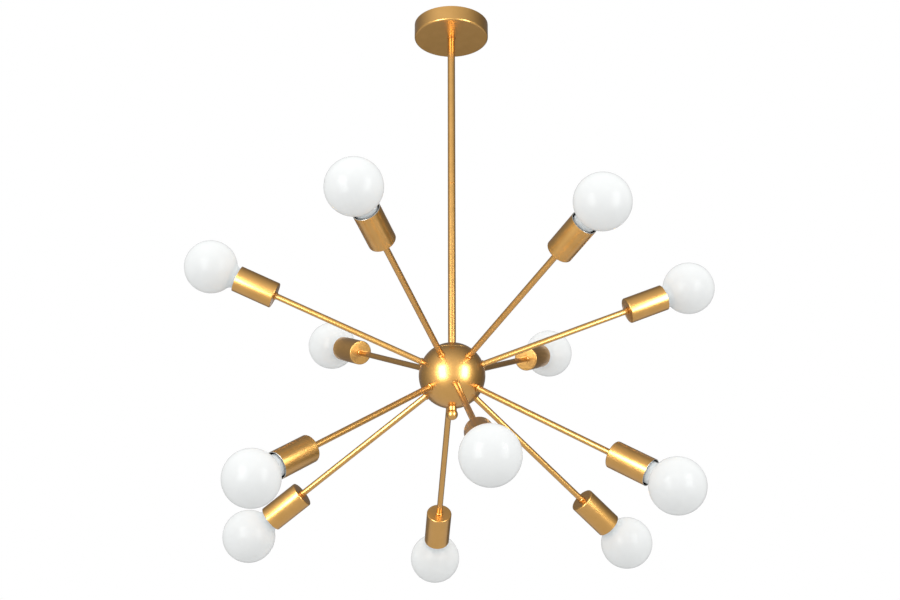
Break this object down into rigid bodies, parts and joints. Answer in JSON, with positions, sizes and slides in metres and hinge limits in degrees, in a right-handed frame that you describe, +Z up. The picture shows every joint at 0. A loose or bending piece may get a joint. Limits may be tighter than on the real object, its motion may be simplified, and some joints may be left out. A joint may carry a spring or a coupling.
{
  "type": "sputnik chandelier",
  "caption": "Ceiling light with a round canopy, a straight stem and a ball hub whose radial arms carry cylindrical socket cups with white globe bulbs.",
  "frame": {"origin": "on the ceiling plane, on the stem's axis, at the middle of the crossbar's slot pattern", "axes": "+Z up into the ceiling, +X along the crossbar, -Y towards the viewer of the picture"},
  "size_m": [0.8099, 0.7626, 0.8603],
  "materials": {
    "satin_gold": "satin gold",
    "zinc_steel": "zinc plated",
    "green_screw": "gloss",
    "holder_body": "matte",
    "holder_metal": "plain",
    "cable_sheath": "matte",
    "connector_body": "gloss",
    "opal_glass": "opal gloss"
  },
  "bodies": {
    "fixture": {"arm_cup_nuts": "zinc_steel", "arm_hub_nuts": "zinc_steel", "arm_leads": "cable_sheath", "arm_tube_01": "satin_gold", "arm_tube_02": "satin_gold", "arm_tube_03": "satin_gold", "arm_tube_04": "satin_gold", "arm_tube_05": "satin_gold", "arm_tube_06": "satin_gold", "arm_tube_07": "satin_gold", "arm_tube_08": "satin_gold", "arm_tube_09": "satin_gold", "arm_tube_10": "satin_gold", "arm_tube_11": "satin_gold", "arm_tube_12": "satin_gold", "canopy": "satin_gold", "ceiling_crossbar": "zinc_steel", "crossbar_nipple": "zinc_steel", "crossbar_nuts": "zinc_steel", "cup_check_rings": "satin_gold", "earth_screw": "green_screw", "finial_ball": "satin_gold", "holder_contacts": "holder_metal", "holder_screw_shells": "holder_metal", "hub_bowl": "satin_gold", "hub_cap": "satin_gold", "hub_check_rings": "satin_gold", "hub_nuts": "zinc_steel", "hub_tie_tube": "zinc_steel", "lampholders": "holder_body", "lead_connectors": "connector_body", "lower_rod": "satin_gold", "rod_joiner": "zinc_steel", "socket_cup_01": "satin_gold", "socket_cup_02": "satin_gold", "socket_cup_03": "satin_gold", "socket_cup_04": "satin_gold", "socket_cup_05": "satin_gold", "socket_cup_06": "satin_gold", "socket_cup_07": "satin_gold", "socket_cup_08": "satin_gold", "socket_cup_09": "satin_gold", "socket_cup_10": "satin_gold", "socket_cup_11": "satin_gold", "socket_cup_12": "satin_gold", "stem_cable": "cable_sheath", "stem_washer": "satin_gold", "upper_rod": "satin_gold"},
    "bulb_01": {"bulb_01": "opal_glass"},
    "bulb_02": {"bulb_02": "opal_glass"},
    "bulb_03": {"bulb_03": "opal_glass"},
    "bulb_04": {"bulb_04": "opal_glass"},
    "bulb_05": {"bulb_05": "opal_glass"},
    "bulb_06": {"bulb_06": "opal_glass"},
    "bulb_07": {"bulb_07": "opal_glass"},
    "bulb_08": {"bulb_08": "opal_glass"},
    "bulb_09": {"bulb_09": "opal_glass"},
    "bulb_10": {"bulb_10": "opal_glass"},
    "bulb_11": {"bulb_11": "opal_glass"},
    "bulb_12": {"bulb_12": "opal_glass"}
  },
  "joints": [
    {"name": "bulb_01_screw_out", "type": "slide", "parent": "fixture", "child": "bulb_01", "axis": [-0.3242, -0.8672, 0.3778], "range_m": [0, 0.036]},
    {"name": "bulb_02_screw_out", "type": "slide", "parent": "fixture", "child": "bulb_02", "axis": [0.5081, -0.7824, 0.36], "range_m": [0, 0.036]},
    {"name": "bulb_03_screw_out", "type": "slide", "parent": "fixture", "child": "bulb_03", "axis": [0.9231, 0.071, 0.3778], "range_m": [0, 0.036]},
    {"name": "bulb_04_screw_out", "type": "slide", "parent": "fixture", "child": "bulb_04", "axis": [0.4221, 0.8284, 0.3681], "range_m": [0, 0.036]},
    {"name": "bulb_05_screw_out", "type": "slide", "parent": "fixture", "child": "bulb_05", "axis": [-0.5203, 0.7627, 0.3843], "range_m": [0, 0.036]},
    {"name": "bulb_06_screw_out", "type": "slide", "parent": "fixture", "child": "bulb_06", "axis": [-0.9109, -0.128, 0.3923], "range_m": [0, 0.036]},
    {"name": "bulb_07_screw_out", "type": "slide", "parent": "fixture", "child": "bulb_07", "axis": [0.1192, -0.8378, -0.5329], "range_m": [0, 0.036]},
    {"name": "bulb_08_screw_out", "type": "slide", "parent": "fixture", "child": "bulb_08", "axis": [0.7688, -0.375, -0.518], "range_m": [0, 0.036]},
    {"name": "bulb_09_screw_out", "type": "slide", "parent": "fixture", "child": "bulb_09", "axis": [0.6874, 0.4903, -0.5358], "range_m": [0, 0.036]},
    {"name": "bulb_10_screw_out", "type": "slide", "parent": "fixture", "child": "bulb_10", "axis": [-0.0727, 0.8477, -0.5255], "range_m": [0, 0.036]},
    {"name": "bulb_11_screw_out", "type": "slide", "parent": "fixture", "child": "bulb_11", "axis": [-0.7798, 0.3087, -0.5446], "range_m": [0, 0.036]},
    {"name": "bulb_12_screw_out", "type": "slide", "parent": "fixture", "child": "bulb_12", "axis": [-0.6661, -0.5279, -0.527], "range_m": [0, 0.036]}
  ]
}
